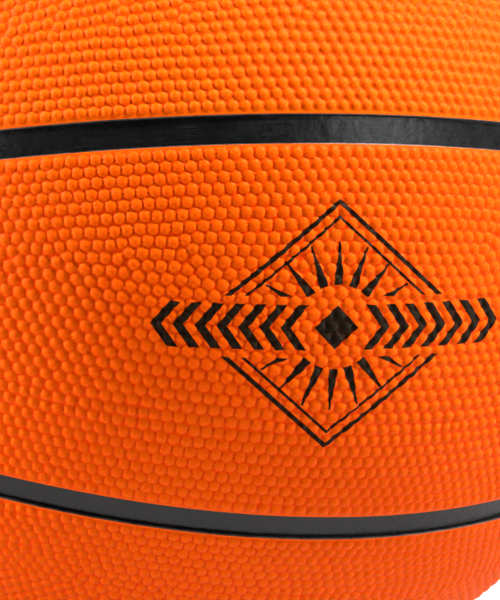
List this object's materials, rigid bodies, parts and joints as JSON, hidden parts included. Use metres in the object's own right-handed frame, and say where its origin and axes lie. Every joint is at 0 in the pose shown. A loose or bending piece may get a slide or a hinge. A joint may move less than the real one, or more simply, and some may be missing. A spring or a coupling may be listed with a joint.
{
  "type": "basketball",
  "caption": "Round inflated ball with a grained orange rubber cover, recessed black seam channels and a valve for an air needle.",
  "frame": {"origin": "centre of the ball", "axes": "+Z out through the valve; -Y towards the middle of the front strip panels; +X to the right seen from the front"},
  "size_m": [0.2228, 0.223, 0.2228],
  "materials": {
    "cover": "satin",
    "channel": "satin",
    "carcass": "matte",
    "winding": "satin",
    "bladder": "satin",
    "valve": "satin"
  },
  "bodies": {
    "root": {"strip_front_low": "cover", "strip_front_high": "cover", "strip_back_low": "cover", "strip_back_high": "cover", "cap_front_low": "cover", "cap_front_high": "cover", "cap_back_low": "cover", "cap_back_high": "cover", "channel_ring": "channel", "channel_arc_low": "channel", "channel_arc_high": "channel", "channel_oval_front_low": "channel", "channel_oval_front_high": "channel", "channel_oval_back_low": "channel", "channel_oval_back_high": "channel", "carcass_front": "carcass", "carcass_back": "carcass", "winding": "winding", "bladder": "bladder", "valve_boot": "valve", "valve_plug": "valve"}
  },
  "joints": []
}
